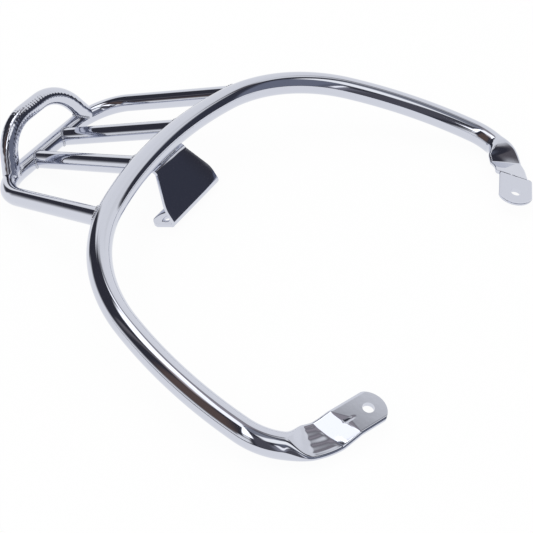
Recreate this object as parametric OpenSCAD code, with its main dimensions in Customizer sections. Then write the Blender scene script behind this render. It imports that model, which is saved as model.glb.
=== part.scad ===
// Rear luggage rack of a scooter: a tube hoop round the seat, a sloping
// rack frame behind it, a grab loop over its corners and a sheet bracket.
// Millimetres. +X is the right-hand side, +Y is forward, +Z is up.
// It lies as it rests on a level surface, on the crossbar and the hoop's front.

/* [Hoop] */
// outside diameter of the hoop tube
hoop_d = 20; // [16:1:25]
// wall thickness of the hoop tube
hoop_wall = 2; // [1.5:0.5:3]
// distance from the middle line of the scooter's seat to the rear run
hoop_rear = 144.9; // [130:0.1:160]
// bend radius of the rear run, on the tube's middle line
rear_r = 368.6; // [250:0.1:600]
// half of the angle that the rear run turns through
rear_turn = 13.8; // [10:0.1:20]
// bend radius of the rear quarters
quarter_r = 130.5; // [110:0.5:160]
// angle that each rear quarter turns through
quarter_turn = 54.3; // [45:0.1:60]
// bend radius of the side runs
side_r = 379.4; // [300:0.1:600]
// angle that each side run turns through
side_turn = 18.3; // [12:0.1:24]
// bend radius of the front corners
front_r = 55.4; // [50:0.1:75]
// angle that each front corner turns through
front_turn = 72; // [60:0.1:80]

/* [Pressed tabs] */
// length over which the tube goes from round to flat
press_len = 18; // [14:0.5:24]
// length of the flat tube before its first crease
flat_len = 14; // [8:0.5:18]
// distance from the first crease to the end of the front corner
press_end = 6.5; // [4:0.5:10]
// length of the step between the two creases
step_len = 15.4; // [12:0.1:22]
// angle that the creases are skewed from square to the tab
crease_skew = 15; // [0:0.5:20]
// angle that the flat tube rises at, ahead of the first crease
flat_pitch = 3; // [0:0.5:5]
// angle that the pad rises at
pad_pitch = 2.5; // [0:0.5:5]
// height of the pressed tube above the tube's middle
press_rise = 4.3; // [0:0.1:6]
// height of the pad above the tube's middle
pad_rise = 10; // [6:0.1:12]
// angle that the pad is twisted about its length
pad_twist = 3.5; // [0:0.5:10]
// distance from the start of the pad to its hole
hole_at = 21.9; // [18:0.1:30]
// distance from the hole to the end of the tab
nose_len = 13; // [10:0.1:16]
// radius of the tab's rounded end
nose_r = 16; // [15:0.1:24]
// hole for the mounting bolt
bolt_hole_d = 9; // [6:0.1:11]
// depth of the crease along the middle of the pad
crease_depth = 1.2; // [0.4:0.1:1.6]
// width of that crease where it starts
crease_w = 6; // [3:0.5:9]
// length of that crease
crease_len = 15; // [8:0.5:16]

/* [Rack frame] */
// outside diameter of the rack tubes
rack_d = 16; // [12:1:18]
// wall thickness of the rack tubes
rack_wall = 1.5; // [1:0.5:2.5]
// slope of the rack below the hoop's plane
rack_slope = 29.7; // [20:0.1:35]
// length of the rack along its slope, from the crossbar to the hoop
rack_len = 134.8; // [110:0.1:160]
// depth of the rack's plane below the middle of the hoop's rear run
rack_set = 8; // [4:0.1:9]
// half the distance between the arms' lines at the crossbar
arm_rear_x = 76.2; // [65:0.1:85]
// angle that each arm splays outwards
arm_splay = 9.2; // [4:0.1:12]
// bend radius of the rear corners
corner_r = 42; // [36:0.5:48]
// half the distance between the two bars at the crossbar
bar_rear_x = 19.6; // [14:0.1:26]
// half the distance between the two bars at the hoop
bar_front_x = 30.6; // [24:0.1:40]
// height of the bars above the arms
bar_lift = 3; // [1:0.1:4]

/* [Grab loop] */
// half the distance between the loop's feet
loop_foot_x = 56; // [54:0.1:62]
// height of the loop's middle line above the crossbar's
loop_rise = 41.4; // [36:0.1:60]
// angle that the loop leans back from square to the rack
loop_lean = 5.4; // [0:0.1:20]
// angle that each leg leans inwards
leg_lean = 26.7; // [10:0.1:30]
// bend radius of the loop
loop_r = 41; // [30:0.5:46]

/* [Bracket] */
// thickness of the sheet
sheet_t = 3; // [2:0.5:4]
// inner radius of the folds
fold_r = 2; // [1:0.5:4]
// length of the flange under the hoop
flange_len = 14; // [12:0.5:20]
// distance of the first fold in front of the hoop tube's middle
fold_at = 7.5; // [6:0.1:12]
// slope of the web
web_slope = 43.4; // [35:0.1:60]
// length of the web between its folds
web_len = 40.8; // [30:0.1:55]
// half the width of the web at the hoop
web_top_x = 22; // [18:0.1:28]
// half the width of the web at the foot
web_foot_x = 35; // [30:0.1:40]
// length over which the web widens
flare_len = 28; // [20:0.5:30]
// slope of the foot
foot_slope = 20; // [14:0.1:24]
// length of the foot behind its fold
foot_len = 19; // [16:0.5:21]
// half the greatest width of the foot
foot_x = 39; // [36:0.1:44]
// radius of the foot's rear corners
foot_r = 8; // [4:0.5:10]
// hole in the foot for a screw
foot_hole_d = 6.5; // [4:0.1:8]
// half the distance between the foot's holes
foot_hole_x = 28; // [22:0.1:30]
// distance of the foot's holes behind its fold
foot_hole_v = 7.5; // [6:0.1:10]

/* [Welds] */
// width of a weld bead beside its joint
bead = 1.6; // [1:0.1:1.8]
// length of each weld bead under the hoop
bead_len = 24; // [12:1:36]

/* [Hidden] */
$fn = 32;
chrome = [0.82, 0.84, 0.88];
weld = [0.72, 0.74, 0.78];
press_rings = 12;
flat_rings = 5;
ring_points = 48;

// Bends and straights of one tube butt with this clearance.
seam = 0.004;

// The pressed tube is two walls thick and keeps the girth of the round tube.
press_t = 2 * hoop_wall;
function pressed_half_width(h) = h + PI * (hoop_d / 2 - h) / 2;

// The end of a bend that starts at p with the heading a.
function bend_to(p, a, r, t) = p + r * [sin(a + t) - sin(a), cos(a) - cos(a + t)];

// Starts of the hoop's bends on the right-hand side, with their headings.
rear_at = [0, -hoop_rear];
quarter_at = bend_to(rear_at, 0, rear_r, rear_turn);
side_at = bend_to(quarter_at, rear_turn, quarter_r, quarter_turn);
side_heading = rear_turn + quarter_turn;
front_at = bend_to(side_at, side_heading, side_r, side_turn);
front_heading = side_heading + side_turn;
tab_at = bend_to(front_at, front_heading, front_r, front_turn);
tab_heading = front_heading + front_turn;

// The round tube stops where the pressing starts.
round_turn = front_turn - (press_end + flat_len + press_len) / front_r * 180 / PI;

// The tab's middle line at the distance u from the start of the pressing.
first_crease = press_len + flat_len;
bend_left = first_crease + press_end;
function press_turn(u) = min(round_turn + u / front_r * 180 / PI, front_turn);
function press_heading(u) = front_heading + press_turn(u);
function press_at(u) = bend_to(front_at, front_heading, front_r, press_turn(u))
  + max(u - bend_left, 0) * [cos(tab_heading), sin(tab_heading)];

// How the section changes along the tab.
pad_start = first_crease + step_len;
pad_end = pad_start + hole_at + nose_len + hoop_d * tan(crease_skew);
function ease(t) = t * t * (3 - 2 * t);
function share(u, from, length) = min(max((u - from) / length, 0), 1);
function pressed(u) = ease(share(u, 0, press_len));
function stepped(u) = share(u, first_crease, step_len);
function half_t(u) = hoop_d / 2 + (press_t / 2 - hoop_d / 2) * pressed(u);
// Height of the middle of the section that starts at u, where it has reached v.
flat_low = press_rise - flat_len * tan(flat_pitch);
function rise(u, v) = u <= press_len ? flat_low * pressed(u)
  : u <= first_crease ? press_rise + (v - first_crease) * tan(flat_pitch)
  : pad_rise + (v - pad_start) * tan(pad_pitch);
function section_point(u, a) = [
  sign(cos(a)) * (pressed_half_width(half_t(u)) - half_t(u)) + half_t(u) * cos(a),
  half_t(u) * sin(a)
];
// A point of the section at u, skewed, twisted and set across the tab's middle line.
function skin_point(u, a) =
  let (q = section_point(u, a), w = pad_twist * stepped(u))
  let (v = u - q[0] * tan(crease_skew * share(u, press_len, flat_len)))
  let (h = press_heading(v), p = press_at(v))
  let (x = q[0] * cos(w) + q[1] * sin(w), z = q[1] * cos(w) - q[0] * sin(w))
  [p[0] - x * sin(h), p[1] + x * cos(h), rise(u, v) + z];

press_steps = [for (i = [0 : press_rings]) press_len * i / press_rings];
flat_steps = [for (i = [1 : flat_rings]) press_len + flat_len * i / flat_rings];
skin_at = concat(press_steps, flat_steps, [pad_start, pad_end]);

// The crossbar's middle, seen from the hoop's plane.
crossbar_y = -hoop_rear - rack_len * cos(rack_slope);
crossbar_z = -rack_set - rack_len * sin(rack_slope);

// The rack rests on its crossbar and on the hoop where the pressing starts.
touch_y = press_at(0)[1];
touch_gap = [touch_y - crossbar_y, -crossbar_z];
hoop_slope = atan2(touch_gap[1], touch_gap[0]) - asin((hoop_d - rack_d) / 2 / norm(touch_gap));
stand_z = rack_d / 2 + crossbar_y * sin(hoop_slope) - crossbar_z * cos(hoop_slope);

// A point of the hoop's plane, as its distance up the rack from the crossbar.
function up_rack(y) = (y - crossbar_y) * cos(rack_slope) - crossbar_z * sin(rack_slope);

// Where the arms and bars run into the middle of the hoop tube.
quarter_mid = quarter_at + quarter_r * [-sin(rear_turn), cos(rear_turn)];
arm_front_x = arm_rear_x + up_rack(-hoop_rear) * tan(arm_splay);
seat_r = arm_front_x > quarter_at[0] ? quarter_r : rear_r;
seat_mid = arm_front_x > quarter_at[0] ? quarter_mid : [0, rear_r - hoop_rear];
seat_heading = asin((arm_front_x - seat_mid[0]) / seat_r);
arm_front_y = seat_mid[1] - seat_r * cos(seat_heading);
// The stretch of the hoop round each arm's end turns through this on either side.
seat_turn = 2 * rack_d / seat_r * 180 / PI;
corner_turn = 90 - arm_splay;
corner_tangent = corner_r * tan(corner_turn / 2);
arm_len = up_rack(arm_front_y) / cos(arm_splay);
bar_front_v = up_rack(-hoop_rear);
bar_splay = atan2(bar_front_x - bar_rear_x, bar_front_v);

// The loop's feet stand on the rack's corners.
end_x = arm_rear_x - corner_tangent;
loop_foot_v = corner_r - sqrt(pow(corner_r, 2) - pow(loop_foot_x - end_x, 2));
foot_start = rack_d / 10;
// The weld rings on the loop's legs clear the corners by this.
ring_gap = 0.2;

// The loop's legs and bends.
loop_tangent = loop_r * tan((90 - leg_lean) / 2);
leg_len = loop_rise / cos(leg_lean) - loop_tangent;
loop_top_x = loop_foot_x - loop_rise * tan(leg_lean) - loop_tangent;

// The sheet's outer face follows this radius round each fold.
fold_out = fold_r + sheet_t;
foot_turn = 180 - web_slope - foot_slope;
fold_steps = 10;
// The cuts beside the sheet go down to the middle of its folds.
cut_low = -fold_out - 0.5;
// Place of a point of the sheet's side view that lies beyond a fold.
function past(p, turn) = [p[0] * cos(turn) + (p[1] + fold_out) * sin(turn),
  (p[1] + fold_out) * cos(turn) - p[0] * sin(turn) - fold_out];
// One side of the sheet, at a height above its outer face.
function side_line(z) = concat([[-flange_len, z]],
  [for (i = [0 : fold_steps]) past([0, z], web_slope * i / fold_steps)],
  [for (i = [0 : fold_steps]) past([web_len, 0] + past([0, z], foot_turn * i / fold_steps), web_slope)],
  [past([web_len, 0] + past([foot_len + 1, z], foot_turn), web_slope)]);

// The tabs' front corners and the loop's rear edge are as far from the origin.
pad_w = pressed_half_width(press_t / 2);
nose_at = hole_at + nose_len - nose_r + sqrt(pow(nose_r, 2) - pow(pad_w, 2));
nose_y = press_at(pad_start)[1] + nose_at * sin(tab_heading) - pad_w * cos(pad_twist) * cos(tab_heading);
nose_z = pad_rise + nose_at * sin(pad_pitch) + pad_w * sin(pad_twist);
loop_angle = rack_slope + loop_lean;
loop_y = crossbar_y + loop_foot_v * cos(rack_slope) - loop_rise * sin(loop_angle);
loop_z = crossbar_z + loop_foot_v * sin(rack_slope) + loop_rise * cos(loop_angle);
front_edge = nose_y * cos(hoop_slope) + nose_z * sin(hoop_slope);
rear_edge = loop_y * cos(hoop_slope) + loop_z * sin(hoop_slope) - rack_d / 2;
stand_y = -(front_edge + rear_edge) / 2;

// Draws its children in the hoop's plane, set at its slope.
module in_hoop_plane() {
  translate([0, stand_y, stand_z]) rotate([-hoop_slope, 0, 0]) children();
}

// Draws its children in the rack's plane, with the crossbar at its origin.
module in_rack_plane() {
  in_hoop_plane() translate([0, crossbar_y, crossbar_z]) rotate([rack_slope, 0, 0]) children();
}

module both_sides() {
  children();
  mirror([1, 0, 0]) children();
}

// The section of a tube with the wall w, or of a solid bar where w is zero.
module tube_section(d, w) {
  difference() {
    circle(d = d);
    if (w > 0) circle(d = d - 2 * w);
  }
}

// A tube or bar bent to the left through t from p, with the heading a.
module bent(p, a, r, t, d, w = 0) {
  gap = seam / r * 180 / PI;
  translate([p[0], p[1], 0]) rotate([0, 0, a]) translate([0, r, 0]) rotate([0, 0, gap / 2 - 90])
    rotate_extrude(angle = t - gap, $fn = 96) translate([r, 0]) tube_section(d, w);
}

// A straight tube or bar from p with the heading a.
module straight(p, a, length, d, w = 0) {
  translate([p[0], p[1], 0]) rotate([0, 0, a]) translate([seam / 2, 0, 0]) rotate([0, 90, 0])
    linear_extrude(height = length - seam) tube_section(d, w);
}

// The runs of the hoop's round tube, with the diameter d and the wall w.
module rear_run(d, w = 0) {
  bent(bend_to(rear_at, 0, rear_r, -rear_turn), -rear_turn, rear_r, 2 * rear_turn, d, w);
}

module quarters(d, w = 0) {
  both_sides() bent(quarter_at, rear_turn, quarter_r, quarter_turn, d, w);
}

module side_runs(d, w = 0) {
  both_sides() {
    bent(side_at, side_heading, side_r, side_turn, d, w);
    bent(front_at, front_heading, front_r, round_turn, d, w);
  }
}

module tab_skin() {
  rings = len(skin_at);
  corners = [for (u = skin_at) for (j = [0 : ring_points - 1]) skin_point(u, (j + 0.5) * 360 / ring_points)];
  walls = [for (i = [0 : rings - 2]) for (j = [0 : ring_points - 1])
    let (k = (j + 1) % ring_points)
    [i * ring_points + j, i * ring_points + k, (i + 1) * ring_points + k, (i + 1) * ring_points + j]];
  first = [for (j = [ring_points - 1 : -1 : 0]) j];
  last = [for (j = [0 : ring_points - 1]) (rings - 1) * ring_points + j];
  polyhedron(corners, concat([first], walls, [last]), convexity = 6);
}

// Draws its children on the pad: X along the tab from the pad's start,
// Y across it and Z up from the middle of its thickness.
module on_pad() {
  p = press_at(pad_start);
  translate([p[0], p[1], pad_rise]) rotate([0, -pad_pitch, tab_heading]) rotate([-pad_twist, 0, 0]) children();
}

module tab() {
  difference() {
    tab_skin();
    on_pad() {
      translate([hole_at, 0, -press_t]) cylinder(h = 2 * press_t, d = bolt_hole_d);
      difference() {
        translate([hole_at, -hoop_d, -press_t]) cube([2 * nose_len, 2 * hoop_d, 2 * press_t]);
        translate([hole_at + nose_len - nose_r, 0, -2 * press_t]) cylinder(h = 4 * press_t, r = nose_r);
      }
      translate([0, 0, press_t / 2 + crease_w / 2 - crease_depth])
        rotate([0, 90, 0]) cylinder(h = crease_len, r1 = crease_w / 2, r2 = crease_w / 2 - crease_depth);
    }
  }
}

module hoop() {
  color(chrome) in_hoop_plane() {
    rear_run(hoop_d, hoop_wall);
    quarters(hoop_d, hoop_wall);
    side_runs(hoop_d, hoop_wall);
  }
}

module tab_right() {
  color(chrome) in_hoop_plane() tab();
}

module tab_left() {
  color(chrome) in_hoop_plane() mirror([1, 0, 0]) tab();
}

// The stretch of the hoop that each arm runs into.
module arm_seats(d) {
  both_sides()
    bent(bend_to([arm_front_x, arm_front_y], seat_heading, seat_r, -seat_turn),
      seat_heading - seat_turn, seat_r, 2 * seat_turn, d);
}

// The rack's outer tube: its crossbar, its corners and its arms.
module crossbar(d, w = 0) {
  straight([-end_x, 0], 0, 2 * end_x, d, w);
}

module corners(d, w = 0) {
  both_sides() bent([end_x, 0], 0, corner_r, corner_turn, d, w);
}

module arms(d, w = 0) {
  both_sides() straight(bend_to([end_x, 0], 0, corner_r, corner_turn), corner_turn, arm_len - corner_tangent, d, w);
}

module rack_frame() {
  color(chrome) {
    in_rack_plane() {
      crossbar(rack_d, rack_wall);
      corners(rack_d, rack_wall);
    }
    difference() {
      in_rack_plane() arms(rack_d, rack_wall);
      in_hoop_plane() arm_seats(hoop_d);
    }
  }
}

// The two bars inside the frame, from the crossbar's middle to the hoop's.
module bars(d, w = 0) {
  both_sides() translate([0, 0, bar_lift])
    straight([bar_rear_x, 0], 90 - bar_splay, bar_front_v / cos(bar_splay), d, w);
}

module rack_bars() {
  color(chrome) difference() {
    in_rack_plane() difference() {
      bars(rack_d, rack_wall);
      crossbar(rack_d);
    }
    in_hoop_plane() rear_run(hoop_d);
  }
}

// Draws its children in the grab loop's plane, between its feet, with Y up.
module in_loop_plane() {
  in_rack_plane() translate([0, loop_foot_v, 0]) rotate([90 + loop_lean, 0, 0]) children();
}

module legs(d, w = 0) {
  both_sides() straight([loop_foot_x, 0] + foot_start * [-sin(leg_lean), cos(leg_lean)],
    90 + leg_lean, leg_len - foot_start, d, w);
}

module loop_top(d, w = 0) {
  both_sides()
    bent([loop_foot_x, 0] + leg_len * [-sin(leg_lean), cos(leg_lean)], 90 + leg_lean, loop_r, 90 - leg_lean, d, w);
  straight([-loop_top_x, loop_rise], 0, 2 * loop_top_x, d, w);
}

module grab_loop() {
  color(chrome) {
    difference() {
      in_loop_plane() legs(rack_d, rack_wall);
      in_rack_plane() corners(rack_d);
    }
    in_loop_plane() loop_top(rack_d, rack_wall);
  }
}

// Draws its children beyond a fold of the given turn.
module past_fold(turn) {
  translate([0, 0, -fold_out]) rotate([-turn, 0, 0]) translate([0, 0, fold_out]) children();
}

// The sheet seen from its side: flange, fold, web, fold and foot, with the outer face first.
module folded_sheet() {
  translate([-foot_x, 0, 0]) rotate([90, 0, 90]) linear_extrude(height = 2 * foot_x)
    polygon(concat(side_line(0), [for (i = [2 * fold_steps + 3 : -1 : 0]) side_line(-sheet_t)[i]]));
}

// What is cut away beside the web, and beside the first fold.
module beside_web() {
  both_sides() translate([0, 0, cut_low]) linear_extrude(height = 1 - cut_low) polygon([
    [web_top_x, -fold_out], [web_top_x, 0], [web_foot_x, flare_len], [web_foot_x, web_len + fold_out],
    [foot_x + 1, web_len + fold_out], [foot_x + 1, -fold_out]
  ]);
}

module foot_outline() {
  translate([-web_foot_x, -2 * fold_out]) square([2 * web_foot_x, 2 * fold_out + 1]);
  polygon([
    [-web_foot_x, 0], [web_foot_x, 0],
    [foot_x, foot_len - foot_r], [-foot_x, foot_len - foot_r]
  ]);
  translate([foot_r - foot_x, 1]) square([2 * (foot_x - foot_r), foot_len - 1]);
  for (side = [-1, 1])
    translate([side * (foot_x - foot_r), foot_len - foot_r]) circle(r = foot_r);
}

// What is cut away round the foot, and beside the second fold.
module beside_foot() {
  translate([0, 0, cut_low]) linear_extrude(height = 1 - cut_low) difference() {
    translate([-foot_x - 1, -fold_out]) square([2 * foot_x + 2, fold_out + foot_len + 3]);
    foot_outline();
  }
  for (side = [-1, 1])
    translate([side * foot_hole_x, foot_hole_v, cut_low]) cylinder(d = foot_hole_d, h = 1 - cut_low);
}

module bracket() {
  color(chrome) in_hoop_plane() translate([0, fold_at - hoop_rear, -hoop_d / 2]) difference() {
    folded_sheet();
    both_sides() translate([web_top_x, -flange_len - 1, cut_low])
      cube([foot_x, flange_len + 1, 1 - cut_low]);
    past_fold(web_slope) {
      beside_web();
      translate([0, web_len, 0]) past_fold(foot_turn) beside_foot();
    }
  }
}

// Each bead fills the corner between a tube's end and the tube it meets.
module arm_welds() {
  color(weld) difference() {
    intersection() {
      in_rack_plane() arms(rack_d + 2 * bead, bead);
      in_hoop_plane() arm_seats(hoop_d + 2 * bead);
    }
    in_hoop_plane() arm_seats(hoop_d);
  }
}

module bar_welds() {
  color(weld) {
    difference() {
      intersection() {
        in_rack_plane() bars(rack_d + 2 * bead, bead);
        in_hoop_plane() rear_run(hoop_d + 2 * bead);
      }
      in_hoop_plane() rear_run(hoop_d);
    }
    in_rack_plane() difference() {
      intersection() {
        bars(rack_d + 2 * bead, bead);
        crossbar(rack_d + 2 * bead);
      }
      crossbar(rack_d);
    }
  }
}

// A ring of weld round each leg, level with the top of the corner that it stands on.
module loop_welds() {
  ring_from = rack_d / 2 + ring_gap;
  color(weld) intersection() {
    in_loop_plane() legs(rack_d + 2 * bead, bead);
    in_rack_plane() translate([-2 * loop_foot_x, -rack_d, ring_from])
      cube([4 * loop_foot_x, 3 * rack_d, 1.5 * bead]);
  }
}

module bracket_welds() {
  turn = bead_len / rear_r * 180 / PI;
  color(weld) in_hoop_plane() translate([0, rear_r - hoop_rear, 0]) rotate([0, 0, -90 - turn / 2])
    rotate_extrude(angle = turn, $fn = 180) difference() {
      for (side = [-1, 1])
        translate([rear_r + side * (hoop_d / 4) - bead, -hoop_d / 2]) square([2 * bead, bead + 1]);
      translate([rear_r, 0]) circle(d = hoop_d);
    }
}

hoop();
tab_right();
tab_left();
rack_frame();
rack_bars();
grab_loop();
bracket();
arm_welds();
bar_welds();
loop_welds();
bracket_welds();
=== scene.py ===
import math

import bmesh
import bpy
from mathutils import Matrix, Vector


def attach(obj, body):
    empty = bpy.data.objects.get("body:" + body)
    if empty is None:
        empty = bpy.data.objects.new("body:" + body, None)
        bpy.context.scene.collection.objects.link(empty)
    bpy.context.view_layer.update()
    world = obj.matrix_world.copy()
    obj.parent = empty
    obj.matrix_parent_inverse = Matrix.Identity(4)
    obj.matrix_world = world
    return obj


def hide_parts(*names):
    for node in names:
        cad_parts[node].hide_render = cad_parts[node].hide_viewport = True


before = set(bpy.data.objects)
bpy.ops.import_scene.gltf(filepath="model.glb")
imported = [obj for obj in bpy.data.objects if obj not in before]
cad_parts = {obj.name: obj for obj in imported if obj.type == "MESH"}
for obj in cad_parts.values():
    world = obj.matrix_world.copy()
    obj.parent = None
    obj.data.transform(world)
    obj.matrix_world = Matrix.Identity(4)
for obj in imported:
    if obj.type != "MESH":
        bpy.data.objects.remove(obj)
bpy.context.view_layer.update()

# sizes are in millimetres and degrees until a piece is set in its place
mm = 0.001
# points nearer than this count as one
nearby = 0.01


def clearSelection():
    if bpy.context.object and bpy.context.object.mode != "OBJECT":
        bpy.ops.object.mode_set(mode="OBJECT")
    bpy.ops.object.select_all(action="DESELECT")


def pick(piece):
    clearSelection()
    piece.select_set(True)
    bpy.context.view_layer.objects.active = piece


def applyAll(piece):
    pick(piece)
    for modifier in list(piece.modifiers):
        bpy.ops.object.modifier_apply(modifier=modifier.name)


def faceOutwards(piece):
    pick(piece)
    bpy.ops.object.mode_set(mode="EDIT")
    bpy.ops.mesh.select_all(action="SELECT")
    bpy.ops.mesh.normals_make_consistent(inside=False)
    bpy.ops.object.mode_set(mode="OBJECT")


def along(heading):
    return Vector((math.cos(math.radians(heading)), math.sin(math.radians(heading)), 0))


def leftOf(heading):
    return along(heading + 90)


# first ring of a tube that is drawn in the XY plane, facing along the heading
def startTube(name, centre, heading, radius, points):
    clearSelection()
    bpy.ops.mesh.primitive_circle_add(vertices=points, radius=radius, location=centre,
                                      rotation=(math.pi / 2, 0, math.radians(heading + 90)))
    tube = bpy.context.object
    tube.name = name
    bpy.ops.object.transform_apply(location=True, rotation=True, scale=True)
    bpy.ops.object.mode_set(mode="EDIT")
    bpy.ops.mesh.select_all(action="SELECT")
    return tube


def extrudeBy(step):
    bpy.ops.mesh.extrude_edges_move(TRANSFORM_OT_translate={"value": step})


# carries the last ring round a bend to the left; returns the new centre and heading
def bendOn(centre, heading, radius, turn, steps):
    middle = centre + leftOf(heading) * radius
    bpy.ops.mesh.spin(steps=steps, angle=-math.radians(turn), center=middle, axis=(0, 0, 1))
    heading += turn
    return middle - leftOf(heading) * radius, heading


def straightOn(centre, heading, length, steps=1):
    for i in range(steps):
        extrudeBy(along(heading) * (length / steps))
    return centre + along(heading) * length


def mirrorAcross(piece, weld=True):
    mirror = piece.modifiers.new("otherSide", "MIRROR")
    mirror.use_axis = (True, False, False)
    mirror.use_mirror_merge = weld
    mirror.merge_threshold = nearby
    applyAll(piece)


# the same hole on both sides of the middle, square to the place's own Z axis
def drillBothSides(piece, diameter, place, points=64, depth=30):
    clearSelection()
    bpy.ops.mesh.primitive_cylinder_add(vertices=points, radius=diameter / 2, depth=depth,
                                        location=(0, 0, 0))
    drill = bpy.context.object
    drill.data.transform(place)
    drill.data.update()
    mirrorAcross(drill, weld=False)
    cut = piece.modifiers.new("drill", "BOOLEAN")
    cut.operation, cut.object, cut.solver = "DIFFERENCE", drill, "EXACT"
    applyAll(piece)
    bpy.data.objects.remove(drill, do_unlink=True)


# a finished piece goes from its own plane in millimetres to its place in the row's frame
def settle(piece, plane, angle=35):
    pick(piece)
    piece.matrix_world = Matrix.Scale(mm, 4) @ plane
    bpy.ops.object.transform_apply(location=True, rotation=True, scale=True)
    bpy.ops.object.shade_smooth_by_angle(angle=math.radians(angle))
    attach(piece, "root")


def turned(axis, degrees):
    return Matrix.Rotation(math.radians(degrees), 4, axis)


# the planes that the pieces are drawn in
stand = {"hoopSlope": 11.6297, "forward": 75.5938, "height": 28.439}
hoopPlane = Matrix.Translation((0, stand["forward"], stand["height"])) @ turned("X", -stand["hoopSlope"])

rack = {"tube": 16, "slope": 29.7, "length": 134.8, "set": 8, "rearX": 76.2, "splay": 9.2, "cornerR": 42,
        "points": 72, "crossbarRings": 3, "cornerRings": 40, "armRings": 6}
# the two bars run from a little below the frame's plane to a little above it; their rear rims are sunk
# into the crossbar, but stay at least cope in front of its middle
bars = {"rearX": 19.6, "frontX": 30.6, "rearLift": -1.5, "frontLift": 5.2, "rings": 6, "sunk": 1,
        "cope": 4}
# its bends, from the middle of the rear run forwards: radius, turn and how many rings
hoop = {"tube": 20, "wall": 2, "rear": 144.9, "rearR": 368.6, "rearTurn": 13.8, "rearRings": 14,
        "quarterR": 130.5, "quarterTurn": 54.3, "quarterRings": 40, "sideR": 379.4, "sideTurn": 18.3,
        "sideRings": 18, "frontR": 55.4, "frontTurn": 72, "frontRings": 26, "points": 96}
# lengths run from where the press began to flatten the tube; slopes and turns are in degrees
tab = {"press": 18, "flat": 14, "pressEnd": 6.5, "step": 15.4, "skewFirst": 19, "skew": 15,
       "flatPitch": 3, "padPitch": 2.5, "pressRise": 4.3, "padRise": 10, "twist": 3.5, "holeAt": 21.9,
       "hole": 9, "nose": 13, "noseR": 16, "round": 0.8, "early": 0, "jog": 0, "jogBack": 0, "slide": 0}
# what the press and the creasing tool left on the upper side
tab.update({"ripple": 0.1, "rippleFrom": 0.6, "rippleWide": 12, "rippleAside": 4, "rippleFade": 3,
            "pucker": 0.055, "puckerLong": 6.5, "puckerAside": 0.8, "puckerNarrow": 0.6, "puckerRise": 1.2,
            "puckerBack": 1.0, "groove": 0.55, "grooveWide": 4, "grooveLong": 11, "grooveBack": 1.5,
            "grooveTaper": 0.6, "grooveRise": 8, "lip": 0.0, "lipWide": 0.4})
# the left-hand tab was pressed further back, a little off the tube's middle, and creased at another
# slant: early is how much further back, jog how far off, and slide carries the flat's slope back
leftTab = dict(tab, press=12.4, flat=9, step=26, skewFirst=5, skew=12, flatPitch=-15, pressRise=1.6,
               early=9, jog=4.6, jogBack=1.2, slide=1, ripple=0.0, pucker=0.0, groove=0.12, lip=0.5,
               lipWide=0.6)
# how many rings each stretch of a tab has, and where they lie at a crease
tabRings = {"press": 24, "flat": 14, "step": 12, "pad": 44, "crease": (-0.8, -0.4, 0, 0.4, 0.8)}
# the shorn end: how far past the pad's outline each ring lies, and how nearly it closes
shornEnd = ((-0.08, 0.08), (0.0, 0.35), (-0.05, 0.85), (-0.9, 0.97))
firstCrease = tab["press"] + tab["flat"]
padStart = firstCrease + tab["step"]
roundTurn = hoop["frontTurn"] - math.degrees((tab["pressEnd"] + firstCrease) / hoop["frontR"])

slope = math.radians(rack["slope"])
crossbarY = -hoop["rear"] - rack["length"] * math.cos(slope)
crossbarZ = -rack["set"] - rack["length"] * math.sin(slope)
rackPlane = hoopPlane @ Matrix.Translation((0, crossbarY, crossbarZ)) @ turned("X", rack["slope"])


def upRack(y):
    return (y - crossbarY) * math.cos(slope) - crossbarZ * math.sin(slope)


def ease(t):
    t = min(max(t, 0), 1)
    return t * t * (3 - 2 * t)


# zero before 0 and v after it, with the corner rounded over the length r
def ramp(v, r):
    if v <= -r:
        return 0
    if v >= r:
        return v
    return (v + r) ** 2 / (4 * r)


# point of a tube's girth, pressed to the half thickness h, at the share s round it
def girthPoint(s, h):
    radius = hoop["tube"] / 2
    girth = 2 * math.pi * radius
    flat = (girth - 2 * math.pi * h) / 2
    p = (s % 1) * girth
    corner = math.pi * h / 2
    if p < corner:
        a = p / h
        return flat / 2 + h * math.cos(a), h * math.sin(a)
    p -= corner
    if p < flat:
        return flat / 2 - p, h
    p -= flat
    if p < 2 * corner:
        a = math.pi / 2 + p / h
        return -flat / 2 + h * math.cos(a), h * math.sin(a)
    p -= 2 * corner
    if p < flat:
        return p - flat / 2, -h
    p -= flat
    a = 1.5 * math.pi + p / h
    return flat / 2 + h * math.cos(a), h * math.sin(a)


# where one of the hoop's bends has its middle and its end, and the heading there
def roundBend(at, heading, part):
    middle = at + leftOf(heading) * hoop[part + "R"]
    heading += hoop[part + "Turn"]
    return middle, middle - leftOf(heading) * hoop[part + "R"], heading


# one half of the hoop, with its pressed end to the right
def halfHoop(marks):
    frontTurn = roundTurn - math.degrees(marks["early"] / hoop["frontR"])
    at, heading = Vector((0, -hoop["rear"], 0)), 0.0
    half = startTube("hoopTube", at, heading, hoop["tube"] / 2, hoop["points"])
    for part in ("rear", "quarter", "side"):
        at, heading = bendOn(at, heading, hoop[part + "R"], hoop[part + "Turn"], hoop[part + "Rings"])
    at, heading = bendOn(at, heading, hoop["frontR"], frontTurn, hoop["frontRings"])
    bpy.ops.object.mode_set(mode="OBJECT")
    pressTab(half, at, heading, marks)
    return half


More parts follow.
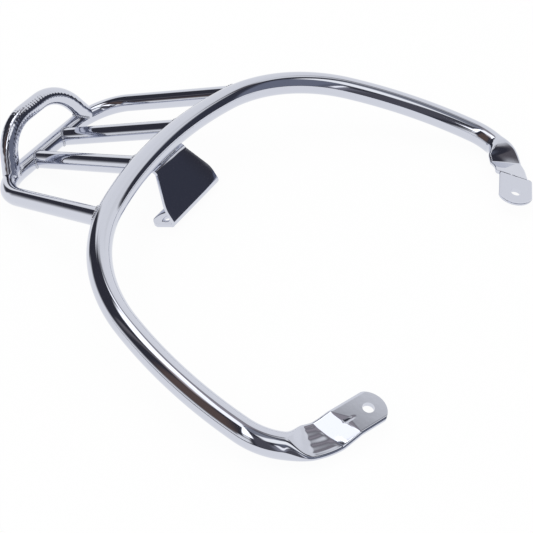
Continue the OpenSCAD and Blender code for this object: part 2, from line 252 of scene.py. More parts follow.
def buildHoop():
    whole, left = halfHoop(tab), halfHoop(leftTab)
    pick(left)
    left.scale.x = -1
    bpy.ops.object.transform_apply(location=False, rotation=False, scale=True)
    whole.select_set(True)
    bpy.context.view_layer.objects.active = whole
    bpy.ops.object.join()
    bpy.ops.object.mode_set(mode="EDIT")
    bpy.ops.mesh.select_all(action="SELECT")
    bpy.ops.mesh.remove_doubles(threshold=nearby)
    bpy.ops.object.mode_set(mode="OBJECT")
    faceOutwards(whole)
    drillBothSides(whole, tab["hole"], holePlace())
    settle(whole, hoopPlane, angle=40)
    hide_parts("hoop", "tab_right", "tab_left")
    return whole


# a tab's middle line at the distance u from the start of the pressing
def tabLine(start, heading, u):
    bend = firstCrease + tab["pressEnd"]
    a = heading + math.degrees(min(u, bend) / hoop["frontR"])
    p = start + (leftOf(heading) - leftOf(a)) * hoop["frontR"]
    return p + along(a) * max(u - bend, 0), a


# depth of the marks that the press left on the tab's upper side
def pressMarks(u, x, marks):
    half = math.pi * (hoop["tube"] / 2 - hoop["wall"]) / 2
    fade = tab["rippleFade"]
    inside = ease((half - abs(x)) / fade)
    creaseAt = marks["press"] + marks["flat"]
    begin = tab["rippleFrom"]
    flatBy = ease((u - marks["press"] * begin) / (marks["press"] * (1 - begin)))
    flatBy *= 1 - ease((u - creaseAt + fade) / fade)
    waves = math.cos(2 * math.pi * (x + tab["rippleAside"]) / tab["rippleWide"])
    deep = marks["ripple"] * flatBy * waves * inside
    past = u - padStart
    deep += marks["lip"] * math.exp(-(past / marks["lipWide"]) ** 2)
    # behind the second crease the wall falls away to either side of a short groove
    off = x + tab["puckerAside"]
    reach = tab["puckerLong"] * max(0, 1 - abs(off) / half) * (1 if off > 0 else tab["puckerNarrow"])
    into = past + tab["puckerBack"]
    if into > 0 and past < reach:
        deep += marks["pucker"] * (reach - max(past, 0)) * ease(into / tab["puckerRise"])
    onward = (past + tab["grooveBack"]) / tab["grooveLong"]
    wide = tab["grooveWide"] / 2 * (1 - tab["grooveTaper"] * onward)
    if 0 <= onward <= 1 and abs(x) < wide:
        across = (1 - (x / wide) ** 2) ** 1.5
        deep += marks["groove"] * (1 - onward) * ease(onward * tab["grooveRise"]) * across
    return deep


# a point of the tab's skin: u along it, s round its girth
def skinPoint(start, heading, u, s, marks):
    wall = hoop["wall"]
    pressedBy = ease((u + marks["early"]) / (marks["press"] + marks["early"]))
    x, z = girthPoint(s, hoop["tube"] / 2 + (wall - hoop["tube"] / 2) * pressedBy)
    flatBy = min(max((u - marks["press"]) / marks["flat"], 0), 1)
    creaseAt = marks["press"] + marks["flat"]
    stepped = min(max((u - creaseAt) / marks["step"], 0), 1)
    skew = marks["skewFirst"] * flatBy + (marks["skew"] - marks["skewFirst"]) * stepped
    shift = -x * math.tan(math.radians(skew))
    lowSlope = math.tan(math.radians(marks["flatPitch"]))
    highSlope = math.tan(math.radians(tab["padPitch"]))
    stepSlope = (tab["padRise"] - marks["pressRise"] + shift * (highSlope - lowSlope)) / marks["step"]
    if u < marks["press"]:
        slid = marks["slide"] * lowSlope * (u - marks["press"])
        rise = (marks["pressRise"] - marks["flat"] * lowSlope + slid) * pressedBy
    else:
        rise = marks["pressRise"] + (u + shift - creaseAt) * lowSlope \
            + (stepSlope - lowSlope) * ramp(u - creaseAt, tab["round"]) \
            + (highSlope - stepSlope) * ramp(u - padStart, tab["round"])
    twist = math.radians(tab["twist"]) * stepped
    if z > wall * 0.99:
        z -= pressMarks(u, x, marks)
    x, z = x * math.cos(twist) + z * math.sin(twist), z * math.cos(twist) - x * math.sin(twist)
    p, a = tabLine(start, heading, u + shift)
    # the left-hand press closed a little off the tube's middle
    past = ease((u - padStart + tab["round"]) / (2 * tab["round"]))
    aside = (marks["jog"] - marks["jogBack"] * stepped) * pressedBy * (1 - past)
    return p + leftOf(a) * (x + aside) + Vector((0, 0, rise + z))


# adds the rings of the pressed end to the tube's last ring, which is selected
def pressTab(half, at, heading, marks):
    ringAt, ringSide, wall = at.copy(), leftOf(heading), hoop["wall"]
    start = at + leftOf(heading) * hoop["frontR"]
    heading += math.degrees(marks["early"] / hoop["frontR"])
    start -= leftOf(heading) * hoop["frontR"]
    mesh = bmesh.new()
    mesh.from_mesh(half.data)
    last = [v for v in mesh.verts if v.select]

    def share(v):
        d = v.co - ringAt
        return (math.atan2(d.z, d.dot(ringSide)) / (2 * math.pi)) % 1

    last.sort(key=share)
    shares = [share(v) for v in last]

    def addRing(last, place, drop=0.0):
        ring = [mesh.verts.new(skinPoint(start, heading, place(s), s, marks)
                               - Vector((0, 0, girthPoint(s, wall)[1] * drop))) for s in shares]
        for i in range(len(ring)):
            k = (i + 1) % len(ring)
            mesh.faces.new((last[i], last[k], ring[k], ring[i]))
        return ring

    creaseAt = marks["press"] + marks["flat"]
    rings = [creaseAt + x for x in tabRings["crease"]] + [padStart + x for x in tabRings["crease"]]
    count = tabRings["press"]
    rings += [(marks["press"] + marks["early"]) * i / count - marks["early"] for i in range(1, count + 1)]
    count = tabRings["flat"]
    rings += [marks["press"] + marks["flat"] * i / count for i in range(1, count)]
    count = tabRings["step"]
    rings += [creaseAt + marks["step"] * i / count for i in range(1, count)]
    rings.sort()
    for u in rings:
        last = addRing(last, lambda s: u)
    # the pad runs out to its round nose
    middle = padStart + tab["holeAt"] + tab["nose"] - tab["noseR"]

    def noseAt(s):
        x = girthPoint(s, wall)[0]
        return middle + math.sqrt(tab["noseR"] ** 2 - x * x) + x * math.tan(math.radians(marks["skew"]))

    for i in range(1, tabRings["pad"] + 1):
        last = addRing(last, lambda s: rings[-1] + (noseAt(s) - rings[-1]) * i / tabRings["pad"])
    # the shorn end rounds over and leaves a fine slit between the two walls
    for more, drop in shornEnd:
        last = addRing(last, lambda s: noseAt(s) + more, drop)
    mesh.faces.new(last)
    mesh.to_mesh(half.data)
    mesh.free()


# the middle of the right-hand pad's hole, square to the pad
def holePlace():
    at, heading = Vector((0, -hoop["rear"], 0)), 0.0
    for part in ("rear", "quarter", "side", "front"):
        _, at, heading = roundBend(at, heading, part)
    pad = at + along(heading) * (tab["step"] - tab["pressEnd"])
    return Matrix.Translation((pad.x, pad.y, tab["padRise"])) @ turned("Z", heading) \
        @ turned("Y", -tab["padPitch"]) @ turned("X", -tab["twist"]) \
        @ Matrix.Translation((tab["holeAt"], 0, 0))


# the loop leans forwards by lean as a whole, and each leg leans inwards by legLean
loop = {"footX": 56, "rise": 41.4, "lean": 5.4, "legLean": 26.7, "radius": 41, "legRings": 3,
        "bendRings": 36, "topRings": 2}
cornerTurn = 90 - rack["splay"]
cornerTangent = rack["cornerR"] * math.tan(math.radians(cornerTurn / 2))
endX = rack["rearX"] - cornerTangent
footV = rack["cornerR"] - math.sqrt(rack["cornerR"] ** 2 - (loop["footX"] - endX) ** 2)
loopPlane = rackPlane @ Matrix.Translation((0, footV, 0)) @ turned("X", 90 + loop["lean"])


# length of each arm, from the crossbar's line to the middle of the hoop's tube
def armLength():
    hoopX = rack["rearX"] + upRack(-hoop["rear"]) * math.tan(math.radians(rack["splay"]))
    turn = math.radians(hoop["rearTurn"])
    quarterFrom = Vector((hoop["rearR"] * math.sin(turn),
                          -hoop["rear"] + hoop["rearR"] * (1 - math.cos(turn)), 0))
    middle = quarterFrom + leftOf(hoop["rearTurn"]) * hoop["quarterR"]
    hoopY = middle.y - math.sqrt(hoop["quarterR"] ** 2 - (hoopX - middle.x) ** 2)
    return upRack(hoopY) / math.cos(math.radians(rack["splay"]))


def buildRackFrame():
    at, heading = Vector((0, 0, 0)), 0.0
    half = startTube("rackTube", at, heading, rack["tube"] / 2, rack["points"])
    at = straightOn(at, heading, endX, rack["crossbarRings"])
    at, heading = bendOn(at, heading, rack["cornerR"], cornerTurn, rack["cornerRings"])
    straightOn(at, heading, armLength() - cornerTangent, rack["armRings"])
    bpy.ops.mesh.edge_face_add()
    bpy.ops.object.mode_set(mode="OBJECT")
    mirrorAcross(half)
    faceOutwards(half)
    settle(half, rackPlane)
    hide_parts("rack_frame")
    return half


# the ends of the right-hand bar's middle line, in the rack's plane
def barEnds():
    return (Vector((bars["rearX"], 0, bars["rearLift"])),
            Vector((bars["frontX"], upRack(-hoop["rear"]), bars["frontLift"])))


def buildBars():
    rear, front = barEnds()
    way = (front - rear).normalized()
    clearSelection()
    bpy.ops.mesh.primitive_circle_add(vertices=rack["points"], radius=rack["tube"] / 2, location=rear,
                                      rotation=way.to_track_quat("Z", "Y").to_euler())
    bar = bpy.context.object
    bar.name = "rackBars"
    bpy.ops.object.transform_apply(location=True, rotation=True, scale=True)
    bpy.ops.object.mode_set(mode="EDIT")
    bpy.ops.mesh.select_all(action="SELECT")
    for i in range(bars["rings"]):
        extrudeBy((front - rear) / bars["rings"])
    bpy.ops.mesh.select_all(action="DESELECT")
    bpy.ops.mesh.select_non_manifold(extend=False)
    bpy.ops.mesh.edge_face_add()
    bpy.ops.object.mode_set(mode="OBJECT")
    # the rear end is coped to sit on the crossbar
    radius = rack["tube"] / 2
    for v in bar.data.vertices:
        if abs((v.co - rear).dot(way)) < nearby:
            reach = math.sqrt(max(radius ** 2 - v.co.z ** 2, 0)) - bars["sunk"]
            v.co += way * (max(reach, bars["cope"]) - v.co.y) / way.y
    mirrorAcross(bar, weld=False)
    faceOutwards(bar)
    settle(bar, rackPlane)
    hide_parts("rack_bars")
    return bar


def buildGrabLoop():
    lean = loop["legLean"]
    tangent = loop["radius"] * math.tan(math.radians((90 - lean) / 2))
    legLen = loop["rise"] / math.cos(math.radians(lean)) - tangent
    topX = loop["footX"] - loop["rise"] * math.tan(math.radians(lean)) - tangent
    at, heading = Vector((loop["footX"], 0, 0)), 90 + lean
    half = startTube("grabLoop", at, heading, rack["tube"] / 2, rack["points"])
    at = straightOn(at, heading, legLen, loop["legRings"])
    at, heading = bendOn(at, heading, loop["radius"], 90 - lean, loop["bendRings"])
    straightOn(at, heading, topX, loop["topRings"])
    bpy.ops.mesh.select_all(action="DESELECT")
    bpy.ops.object.mode_set(mode="OBJECT")
    for v in half.data.vertices:
        v.select = abs((v.co - Vector((loop["footX"], 0, 0))).dot(along(90 + lean))) < nearby
    bpy.ops.object.mode_set(mode="EDIT")
    bpy.ops.mesh.select_mode(type="VERT")
    bpy.ops.mesh.edge_face_add()
    bpy.ops.object.mode_set(mode="OBJECT")
    mirrorAcross(half)
    faceOutwards(half)
    settle(half, loopPlane)
    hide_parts("grab_loop")
    return half


# shoulder and knee round the web's sides where they begin and stop to flare
sheet = {"thick": 3, "fold": 3.2, "footFold": 2, "flange": 14, "foldAt": 7.2, "webSlope": 43.4,
         "web": 39.7, "topX": 22, "webX": 35, "flare": 28, "footSlope": 20, "foot": 19, "footX": 39,
         "footR": 8, "hole": 6.5, "holeX": 28, "holeV": 7.5, "shoulder": 1.5, "knee": 5, "edge": 0.45,
         "foldRings": 10, "webRings": 40, "footFoldRings": 16, "footRings": 4, "footBend": 6}


# half the width of the sheet at the distance v down its web
def webWidth(v):
    slant = (sheet["webX"] - sheet["topX"]) / sheet["flare"]
    return sheet["topX"] + slant * (ramp(v, sheet["shoulder"]) - ramp(v - sheet["flare"], sheet["knee"]))


def footWidth(v):
    straight = sheet["foot"] - sheet["footR"]
    if v <= straight:
        return sheet["webX"] + (sheet["footX"] - sheet["webX"]) * v / straight
    return sheet["footX"] - sheet["footR"] + math.sqrt(max(sheet["footR"] ** 2 - (v - straight) ** 2, 0))


# straight into the sheet, seen from its outer face, once it has turned down by the heading
def intoSheet(heading):
    return Vector((0, -math.sin(math.radians(heading)), -math.cos(math.radians(heading))))


# the bracket: one strip run round its two folds, shaped, thickened, drilled and eased at its edges
def buildBracket():
    clearSelection()
    bpy.ops.mesh.primitive_plane_add(size=2, location=(0, 0, 0))
    strip = bpy.context.object
    strip.name = "bracketSheet"
    bpy.ops.object.mode_set(mode="EDIT")
    bpy.ops.mesh.select_all(action="DESELECT")
    bpy.ops.object.mode_set(mode="OBJECT")
    for v in strip.data.vertices:
        v.co = (v.co.x * sheet["topX"], 0 if v.co.y > 0 else -sheet["flange"], 0)
        v.select = v.co.y == 0
    bpy.ops.object.mode_set(mode="EDIT")
    heading, place = 0.0, Vector((0, 0, 0))
    forward = Vector((0, 1, 0))
    widths = []

    def fold(turn, radius, steps):
        nonlocal heading, place, forward
        outer = radius + sheet["thick"]
        axis = place + intoSheet(heading) * outer
        for i in range(steps):
            heading += turn / steps
            here = axis - intoSheet(heading) * outer
            extrudeBy(here - place)
            place = here
        forward = Vector((0, math.cos(math.radians(heading)), -math.sin(math.radians(heading))))

    def run(stops, width):
        nonlocal place
        before = 0
        for v in stops:
            extrudeBy(forward * (v - before))
            place = place + forward * (v - before)
            before = v
            widths.append((place.copy(), width(v)))

    fold(sheet["webSlope"], sheet["fold"], sheet["foldRings"])
    count = sheet["webRings"]
    run([sheet["web"] * i / count for i in range(1, count + 1)], webWidth)
    webEnd = place.z
    fold(180 - sheet["webSlope"] - sheet["footSlope"], sheet["footFold"], sheet["footFoldRings"])
    straight, count = sheet["foot"] - sheet["footR"], sheet["footRings"]
    stops = [straight * i / count for i in range(1, count + 1)]
    # the foot's round corners are cut every few degrees
    every = sheet["footBend"]
    stops += [straight + sheet["footR"] * math.sin(math.radians(a)) for a in range(every, 91, every)]
    run(stops, footWidth)
    bpy.ops.object.mode_set(mode="OBJECT")
    for v in strip.data.vertices:
        half = None
        for p, width in widths:
            if abs(p.y - v.co.y) < nearby and abs(p.z - v.co.z) < nearby:
                half = width
        if half is None and v.co.z < webEnd + nearby:
            half = sheet["webX"]
        if half is not None:
            v.co.x = math.copysign(half, v.co.x)
    skin = strip.modifiers.new("thickness", "SOLIDIFY")
    skin.thickness, skin.offset, skin.use_even_offset = sheet["thick"], -1, True
    applyAll(strip)
    hole = place - forward * (sheet["foot"] - sheet["holeV"])
    through = Matrix.Translation((sheet["holeX"], hole.y, hole.z)) @ turned("X", -heading)
    drillBothSides(strip, sheet["hole"], through, points=48, depth=12)
    soft = strip.modifiers.new("edges", "BEVEL")
    soft.width, soft.segments, soft.limit_method = sheet["edge"], 3, "ANGLE"
    soft.angle_limit = math.radians(50)
    applyAll(strip)
    plane = hoopPlane @ Matrix.Translation((0, sheet["foldAt"] - hoop["rear"], -hoop["tube"] / 2))
    settle(strip, plane, angle=30)
    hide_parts("bracket")
    return strip


# a joint gets no bead nearer than least to the main tube's middle, along the branch, or below lowest
bead = {"radius": 1.0, "sunk": 0.15, "least": 2.5, "lowest": 2.0, "ripple": 0.2, "rippleLong": 1.9,
        "perRipple": 5, "fewest": 12, "uneven": 0.08, "unevenTurn": 1.7, "reach": 30.0, "halvings": 24,
        "under": 24, "underAside": 6.6, "underDrop": 1.0, "underSteps": 10}


# how far a point lies from a tube's middle line, which is given as straight stretches
def offLine(point, line):
    best = float("inf")
    for a, b in zip(line, line[1:]):
        stretch = b - a
        t = min(max((point - a).dot(stretch) / stretch.length_squared, 0), 1)
        best = min(best, (point - a - stretch * t).length)
    return best


# the longest run of points where a branch tube's skin meets the main tube's; True if it goes all round
def jointCurve(foot, direction, radius, line, mainRadius, steps=90):
    sideways = direction.orthogonal().normalized()
    upwards = direction.cross(sideways)
    points = []
    for i in range(steps):
        a = 2 * math.pi * i / steps
        rim = foot + (sideways * math.cos(a) + upwards * math.sin(a)) * (radius + bead["sunk"])
        far, near = bead["reach"], 0.0
        for _ in range(bead["halvings"]):
            half = (far + near) / 2
            if offLine(rim + direction * half, line) > mainRadius + bead["sunk"]:
                far = half
            else:
                near = half
        met = rim + direction * far
        points.append(met if far > bead["least"] and met.z > bead["lowest"] else None)
    if None not in points:
        return points, True
    gap = points.index(None)
    runs, run = [], []
    for p in points[gap:] + points[:gap + 1]:
        if p is None:
            runs.append(run)
            run = []
        else:
            run.append(p)
    return max(runs, key=len), False


def lineLength(points):
    return sum((b - a).length for a, b in zip(points, points[1:]))


# a rippled bead along a line of points in millimetres of the row's frame
def layBead(name, points, closed):
    curve = bpy.data.curves.new(name, "CURVE")
    curve.dimensions = "3D"
    curve.bevel_depth = 1.0   # each point's own radius scales it
    curve.bevel_resolution = 3
    curve.use_fill_caps = True
    count = max(int(lineLength(points) / bead["rippleLong"] * bead["perRipple"]), bead["fewest"])
    stops, walked, i = [], 0.0, 0
    ring = points + [points[0]] if closed else points
    total = lineLength(ring)
    for k in range(count + (0 if closed else 1)):
        target = total * k / count
        while i < len(ring) - 2 and walked + (ring[i + 1] - ring[i]).length < target:
            walked += (ring[i + 1] - ring[i]).length
            i += 1
        step = (ring[i + 1] - ring[i]).length
        stops.append(ring[i].lerp(ring[i + 1], min(max((target - walked) / step, 0), 1)))
    spline = curve.splines.new("POLY")
    spline.points.add(len(stops) - 1)
    for k, p in enumerate(stops):
        swell = bead["ripple"] * math.cos(2 * math.pi * k / bead["perRipple"])
        swell += bead["uneven"] * math.sin(k * bead["unevenTurn"])
        spline.points[k].co = (*p, 1)
        spline.points[k].radius = bead["radius"] + swell
    spline.use_cyclic_u = closed
    piece = bpy.data.objects.new(name, curve)
    bpy.context.scene.collection.objects.link(piece)
    pick(piece)
    bpy.ops.object.convert(target="MESH")
    return bpy.context.object


def joinBeads(name, beads, *nodes):
    pick(beads[0])
    for other in beads[1:]:
        other.select_set(True)
    if len(beads) > 1:
        bpy.ops.object.join()
    piece = bpy.context.object
    piece.name = name
    settle(piece, Matrix.Identity(4), angle=60)
    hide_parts(*nodes)
    return piece


def beadsBothSides(name, curve):
    points, closed = curve
    mirrored = [Vector((-p.x, p.y, p.z)) for p in points]
    return [layBead(name, points, closed), layBead(name, mirrored, closed)]


# into how many straight stretches a bend's middle line is cut
lineSteps = {"bend": 24, "corner": 30}


# middle line of the hoop's rear run and quarter bends, in the row's frame
def hoopLine():
    points, at, heading = [], Vector((0, -hoop["rear"], 0)), 0.0
    steps = lineSteps["bend"]
    for part in ("rear", "quarter"):
        radius, turn, start = hoop[part + "R"], hoop[part + "Turn"], heading
        middle, at, heading = roundBend(at, heading, part)
        points += [middle - leftOf(start + turn * i / steps) * radius
                   for i in range(1 if points else 0, steps + 1)]
    return [hoopPlane @ p for p in points]


# middle line of the crossbar and its right-hand corner, in the row's frame
def cornerLine():
    points = [Vector((x, 0, 0)) for x in (-endX, 0, endX)]
    middle, steps = Vector((endX, rack["cornerR"], 0)), lineSteps["corner"]
    points += [middle - leftOf(cornerTurn * i / steps) * rack["cornerR"] for i in range(1, steps + 1)]
    return [rackPlane @ p for p in points]


# the two beads between the bracket's flange and the underside of the hoop
def flangeBeads():
    beads, aside, steps = [], bead["underAside"], bead["underSteps"]
    drop = bead["underDrop"] + math.sqrt((hoop["tube"] / 2) ** 2 - aside ** 2)
    middle = Vector((0, hoop["rearR"] - hoop["rear"], -drop))
    for r in (hoop["rearR"] - aside, hoop["rearR"] + aside):
        turns = [math.degrees(bead["under"] / 2 / r) * i / steps for i in range(-steps, steps + 1)]
        beads.append(layBead("flangeBead", [hoopPlane @ (middle - leftOf(t) * r) for t in turns], False))
    return beads


def buildWelds():
    tube, hoopRadius = rack["tube"] / 2, hoop["tube"] / 2
    rear, corner = hoopLine(), cornerLine()
    armAlong = along(90 - rack["splay"])
    armFoot = rackPlane @ (Vector((rack["rearX"], 0, 0)) + armAlong * armLength())
    armCurve = jointCurve(armFoot, -(rackPlane.to_3x3() @ armAlong), tube, rear, hoopRadius)
    armBeads = beadsBothSides("armBead", armCurve)
    barRear, barFront = (rackPlane @ p for p in barEnds())
    barWay = (barFront - barRear).normalized()
    barBeads = beadsBothSides("barBead", jointCurve(barRear, barWay, tube, corner, tube))
    barBeads += beadsBothSides("barBead", jointCurve(barFront, -barWay, tube, rear, hoopRadius))
    legWay = loopPlane.to_3x3() @ along(90 + loop["legLean"])
    legFoot = loopPlane @ Vector((loop["footX"], 0, 0))
    legBeads = beadsBothSides("legBead", jointCurve(legFoot, legWay, tube, corner, tube))
    return [joinBeads("armWelds", armBeads, "arm_welds"), joinBeads("barWelds", barBeads, "bar_welds"),
            joinBeads("loopWelds", legBeads, "loop_welds"),
            joinBeads("bracketWelds", flangeBeads(), "bracket_welds")]


hoopTube = buildHoop()
print("hoop and tabs done")
rackTube = buildRackFrame()
rackBars = buildBars()
grabLoop = buildGrabLoop()
print("rack frame, bars and grab loop done")
bracketSheet = buildBracket()
welds = buildWelds()
print("bracket and welds done")


chromeLook = {"colour": (0.617, 0.638, 0.716), "roughness": 0.045, "hazeSize": 45, "hazeDetail": 4,
              "hazeLow": 0.7, "hazeHigh": 1.5, "waveSize": 160, "waveDetail": 2, "waveDepth": 0.00001}
# the loop's bend keeps fine wrinkles from the bending tool
wrinkles = {"size": 98, "detail": 1, "depth": 0.00005, "uneven": 2.5}
weldLook = {"colour": (0.55, 0.565, 0.62), "roughness": 0.16, "pitSize": 900, "pitDetail": 3,
            "pitDepth": 0.0003, "pitStrength": 0.25}


def newMaterial(name):
    material = bpy.data.materials.new(name)
    material.use_nodes = True
    return material, material.node_tree.nodes, material.node_tree.links


def newMetal(name, look):
    material, nodes, links = newMaterial(name)
    shader = nodes["Principled BSDF"]
    shader.inputs["Metallic"].default_value = 1
    shader.inputs["Base Color"].default_value = (*look["colour"], 1)
    shader.inputs["Roughness"].default_value = look["roughness"]
    place = nodes.new("ShaderNodeTexCoord").outputs["Object"]
    return material, nodes, links, shader, place


def addNoise(nodes, links, place, size, detail):
    noise = nodes.new("ShaderNodeTexNoise")
    noise.inputs["Scale"].default_value = size
    noise.inputs["Detail"].default_value = detail
    links.new(place, noise.inputs["Vector"])
    return noise.outputs["Fac"]


def addBump(nodes, links, height, depth, strength=1):
    bump = nodes.new("ShaderNodeBump")
    bump.inputs["Distance"].default_value = depth
    bump.inputs["Strength"].default_value = strength
    links.new(height, bump.inputs["Height"])
    return bump


def makeChrome(name, wrinkled=False):
    material, nodes, links, shader, place = newMetal(name, chromeLook)
    haze = addNoise(nodes, links, place, chromeLook["hazeSize"], chromeLook["hazeDetail"])
    spread = nodes.new("ShaderNodeMapRange")
    spread.inputs["To Min"].default_value = chromeLook["roughness"] * chromeLook["hazeLow"]
    spread.inputs["To Max"].default_value = chromeLook["roughness"] * chromeLook["hazeHigh"]
    links.new(haze, spread.inputs["Value"])
    links.new(spread.outputs["Result"], shader.inputs["Roughness"])
    swell = addNoise(nodes, links, place, chromeLook["waveSize"], chromeLook["waveDetail"])
    bump = addBump(nodes, links, swell, chromeLook["waveDepth"])
    if wrinkled:
        bands = nodes.new("ShaderNodeTexWave")
        bands.inputs["Scale"].default_value = wrinkles["size"]
        bands.inputs["Distortion"].default_value = wrinkles["uneven"]
        bands.inputs["Detail"].default_value = wrinkles["detail"]
        links.new(place, bands.inputs["Vector"])
        folds = addBump(nodes, links, bands.outputs["Fac"], wrinkles["depth"])
        links.new(bump.outputs["Normal"], folds.inputs["Normal"])
        bump = folds
    links.new(bump.outputs["Normal"], shader.inputs["Normal"])
    return material


def makeWeld():
    material, nodes, links, shader, place = newMetal("chromedWeld", weldLook)
    pits = addNoise(nodes, links, place, weldLook["pitSize"], weldLook["pitDetail"])
    bump = addBump(nodes, links, pits, weldLook["pitDepth"], weldLook["pitStrength"])
    links.new(bump.outputs["Normal"], shader.inputs["Normal"])
    return material


chrome = makeChrome("polishedChrome")
wrinkledChrome = makeChrome("wrinkledChrome", True)
weldMetal = makeWeld()
for piece in welds:
    piece.data.materials.clear()
    piece.data.materials.append(weldMetal)
for piece in (hoopTube, rackTube, rackBars, grabLoop, bracketSheet):
    piece.data.materials.clear()
    piece.data.materials.append(wrinkledChrome if piece == grabLoop else chrome)
for name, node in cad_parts.items():
    node.data.materials.clear()
    node.data.materials.append(weldMetal if name.endswith("welds") else chrome)
print("materials done")


# a dark room round a white sheet: each panel is (from, to) in degrees from +X towards +Y, (low, high)
# in degrees above the horizon, how soft its sides and its low and high edges are, and its colour
room = {
    "dark": (0.040, 0.040, 0.052),
    "fill": 0.9,
    "panels": [
        ("greyWall", (45, 118), (-14, 57), 9, 6, (0.19, 0.205, 0.26)),
        ("darkDoor", (112, 141), (-12, 44), 5, 7, (0.046, 0.049, 0.068)),
        ("overheadGrey", (30, 190), (73, 100), 12, 5, (0.27, 0.28, 0.32)),
        ("brownCurtain", (-36, -12), (14, 66), 4, 8, (0.125, 0.088, 0.078)),
        ("sideSheet", (-90, 2), (-90, 11), 4, 8, (1.0, 1.0, 1.0)),
        ("sideSheetCorner", (-12, 3), (6, 21), 3, 5, (0.95, 0.95, 0.95)),
        ("sideSheetBack", (-112, -84), (-90, -1), 5, 8, (1.0, 1.0, 1.0)),
        ("thinPost", (-54, -47), (30, 72), 2.5, 12, (0.16, 0.15, 0.16)),
        ("frontDark", (9, 33), (-12, 62), 3, 5, (0.095, 0.093, 0.11)),
        ("cameraStand", (30, 44), (-12, 34), 4, 9, (0.26, 0.26, 0.30)),
        ("cameraGlint", (37, 42), (10, 42), 1.4, 4, (1.3, 1.3, 1.3)),
        ("backSheet", (147, 246), (-90, 51), 3, 4, (0.97, 0.97, 0.97)),
        ("backSheetLeft", (141, 173), (28, 67), 5, 4, (0.90, 0.90, 0.90)),
        ("backSheetTop", (171, 228), (40, 56), 5, 3.5, (0.95, 0.95, 0.95)),
        ("backShade", (136, 157), (47, 55), 4, 2.5, (0.12, 0.11, 0.12)),
        ("backGap", (176, 203), (58, 80), 5, 3, (0.36, 0.33, 0.35)),
        ("frontSoftbox", (32, 104), (57, 77), 5, 2.5, (1.25, 1.25, 1.22)),
        ("ceilingSoftbox", (-164, -66), (68, 100), 6, 2.5, (2.0, 2.0, 1.98)),
        ("ceilingCorner", (-158, -140), (60, 72), 4, 2.5, (1.6, 1.6, 1.6)),
        ("ceilingEdge", (-66, -28), (69, 79), 9, 5, (0.55, 0.47, 0.45)),
        ("ceilingTop", (-176, 8), (77.5, 100), 6, 2, (1.5, 1.5, 1.5)),
        ("stripSoftbox", (-4, 10.5), (41, 92), 1.8, 3, (2.2, 2.2, 2.2)),
        ("stripFoot", (-4, 5), (25, 42), 2, 4, (0.85, 0.85, 0.85)),
    ],
}
# the white sheet that it stands on ends a short way in front of it, in the direction frontTurn; the
# camera sees it white with a faint shadow; its lengths are in metres
studio = {"half": 3.0, "front": 0.42, "frontSoft": 0.08, "frontTurn": 25, "white": 0.92, "shadow": 0.06}


def mathNode(nodes, links, operation, a, b=None, c=None):
    node = nodes.new("ShaderNodeMath")
    node.operation = operation
    for socket, value in zip(node.inputs, (a, b, c)):
        if value is None:
            continue
        if isinstance(value, (int, float)):
            socket.default_value = value
        else:
            links.new(value, socket)
    return node.outputs["Value"]


def smoothMask(nodes, links, value, low, high):
    mask = nodes.new("ShaderNodeMapRange")
    mask.interpolation_type = "SMOOTHSTEP"
    links.new(value, mask.inputs["Value"])
    mask.inputs["From Min"].default_value = low
    mask.inputs["From Max"].default_value = high
    return mask.outputs["Result"]


def makeFloor():
    clearSelection()
    bpy.ops.mesh.primitive_plane_add(size=2 * studio["half"], location=(0, 0, 0))
    floor = bpy.context.object
    floor.name = "studioFloor"
    material, nodes, links = newMaterial("whiteSheet")
    shader = nodes["Principled BSDF"]
    shader.inputs["Base Color"].default_value = (*[studio["white"]] * 3, 1)
    shader.inputs["Roughness"].default_value = 1
    shader.inputs["Specular IOR Level"].default_value = 0
    glow = nodes.new("ShaderNodeEmission")
    path = nodes.new("ShaderNodeLightPath")
    place = nodes.new("ShaderNodeTexCoord")
    split = nodes.new("ShaderNodeSeparateXYZ")
    links.new(place.outputs["Object"], split.inputs["Vector"])
    turn = math.radians(studio["frontTurn"])
    forward = mathNode(nodes, links, "ADD",
                       mathNode(nodes, links, "MULTIPLY", split.outputs["X"], math.cos(turn)),
                       mathNode(nodes, links, "MULTIPLY", split.outputs["Y"], math.sin(turn)))
    front, soft = studio["front"], studio["frontSoft"]
    onSheet = smoothMask(nodes, links, forward, front + soft, front - soft)
    seen = mathNode(nodes, links, "MAXIMUM", path.outputs["Is Camera Ray"], onSheet)
    tone = nodes.new("ShaderNodeMix")
    tone.data_type = "RGBA"
    links.new(seen, tone.inputs["Factor"])
    tone.inputs["A"].default_value = (*room["dark"], 1)
    tone.inputs["B"].default_value = (1, 1, 1, 1)
    links.new(tone.outputs["Result"], glow.inputs["Color"])
    bright = mathNode(nodes, links, "MULTIPLY", path.outputs["Is Camera Ray"], 1 - studio["shadow"])
    shown = mathNode(nodes, links, "MAXIMUM", bright, path.outputs["Is Glossy Ray"])
    mix = nodes.new("ShaderNodeMixShader")
    links.new(shown, mix.inputs["Fac"])
    links.new(shader.outputs["BSDF"], mix.inputs[1])
    links.new(glow.outputs["Emission"], mix.inputs[2])
    links.new(mix.outputs["Shader"], nodes["Material Output"].inputs["Surface"])
    floor.data.materials.append(material)


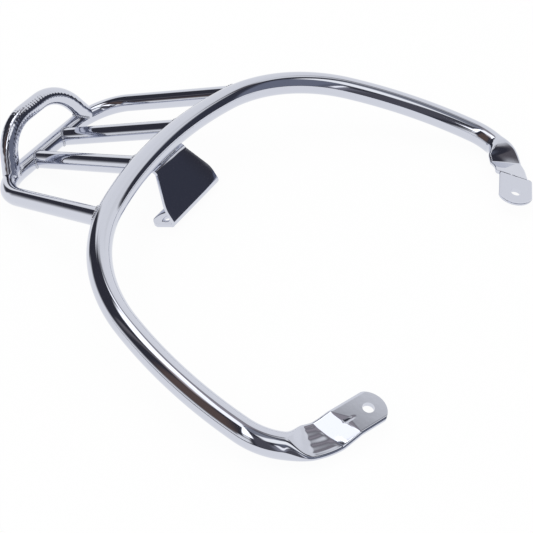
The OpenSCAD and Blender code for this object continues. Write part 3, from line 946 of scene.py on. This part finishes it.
# chrome mirrors the panels, the camera sees plain white, and all else is lit by the fill
def makeRoom():
    world = bpy.data.worlds.new("studioRoom")
    bpy.context.scene.world = world
    world.use_nodes = True
    nodes, links = world.node_tree.nodes, world.node_tree.links
    plain = nodes["Background"]
    plain.inputs["Color"].default_value = (1, 1, 1, 1)
    plain.inputs["Strength"].default_value = room["fill"]
    direction = nodes.new("ShaderNodeTexCoord")
    parts = nodes.new("ShaderNodeSeparateXYZ")
    links.new(direction.outputs["Generated"], parts.inputs["Vector"])
    bearing = mathNode(nodes, links, "ARCTAN2", parts.outputs["Y"], parts.outputs["X"])
    bearing = mathNode(nodes, links, "MULTIPLY", bearing, 180 / math.pi)
    height = mathNode(nodes, links, "ARCSINE", parts.outputs["Z"])
    height = mathNode(nodes, links, "MULTIPLY", height, 180 / math.pi)
    colour = None
    for name, (start, end), (low, high), side, edge, tint in room["panels"]:
        off = mathNode(nodes, links, "SUBTRACT", bearing, (start + end) / 2)
        off = mathNode(nodes, links, "WRAP", off, 180, -180)
        reach = (end - start) / 2
        off = mathNode(nodes, links, "ABSOLUTE", off)
        across = smoothMask(nodes, links, off, reach + side, reach - side)
        above = smoothMask(nodes, links, height, low - edge, low + edge)
        below = smoothMask(nodes, links, height, high + edge, high - edge)
        mask = mathNode(nodes, links, "MULTIPLY", across, mathNode(nodes, links, "MULTIPLY", above, below))
        blend = nodes.new("ShaderNodeMix")
        blend.name = name
        blend.data_type = "RGBA"
        links.new(mask, blend.inputs["Factor"])
        if colour is None:
            blend.inputs["A"].default_value = (*room["dark"], 1)
        else:
            links.new(colour, blend.inputs["A"])
        blend.inputs["B"].default_value = (*tint, 1)
        colour = blend.outputs["Result"]
    mirrored = nodes.new("ShaderNodeBackground")
    links.new(colour, mirrored.inputs["Color"])
    white = nodes.new("ShaderNodeBackground")
    white.inputs["Color"].default_value = (1, 1, 1, 1)
    rays = nodes.new("ShaderNodeLightPath")
    first = nodes.new("ShaderNodeMixShader")
    links.new(rays.outputs["Is Glossy Ray"], first.inputs["Fac"])
    links.new(plain.outputs["Background"], first.inputs[1])
    links.new(mirrored.outputs["Background"], first.inputs[2])
    second = nodes.new("ShaderNodeMixShader")
    links.new(rays.outputs["Is Camera Ray"], second.inputs["Fac"])
    links.new(first.outputs["Shader"], second.inputs[1])
    links.new(white.outputs["Background"], second.inputs[2])
    links.new(second.outputs["Shader"], nodes["World Output"].inputs["Surface"])


# where each lamp hangs, its size and its power; all of them aim at the middle of the floor
lamps = {"overheadLamp": ((-0.4, -0.6, 1.6), (1.2, 1.2), 4),
         "sideLamp": ((1.5, 0.2, 1.0), (0.5, 1.2), 3)}


def hangLamp(name, place, size, power):
    light = bpy.data.lights.new(name, "AREA")
    light.shape = "RECTANGLE"
    light.size, light.size_y = size
    light.energy = power
    lamp = bpy.data.objects.new(name, light)
    bpy.context.scene.collection.objects.link(lamp)
    lamp.location = place
    lamp.rotation_euler = (-Vector(place)).to_track_quat("-Z", "Y").to_euler()
    lamp.visible_glossy = False   # chrome mirrors the room's own softboxes


# found from the photograph: its axes are what lies to the right, down and towards the viewer
view = {"lens": 80.4516, "sensor": 36, "shift": (0.00073, -0.00026), "clip": (0.02, 30),
        "place": (0.657477, 0.428671, 0.664229), "right": (-0.50623, 0.86235, -0.00934),
        "down": (0.58541, 0.33567, -0.73799), "back": (0.63326, 0.37906, 0.67475)}


def placeCamera():
    camera = bpy.data.cameras.new("photoCamera")
    camera.lens, camera.sensor_width = view["lens"], view["sensor"]
    camera.shift_x, camera.shift_y = view["shift"]
    camera.clip_start, camera.clip_end = view["clip"]
    shot = bpy.data.objects.new("photoCamera", camera)
    bpy.context.scene.collection.objects.link(shot)
    turn = Matrix((Vector(view["right"]), -Vector(view["down"]), Vector(view["back"]))).transposed()
    shot.matrix_world = Matrix.Translation(view["place"]) @ turn.to_4x4()
    bpy.context.scene.camera = shot


makeFloor()
makeRoom()
for name, (place, size, power) in lamps.items():
    hangLamp(name, place, size, power)
placeCamera()
bpy.context.scene.view_settings.view_transform = "Standard"
print("studio and camera done")
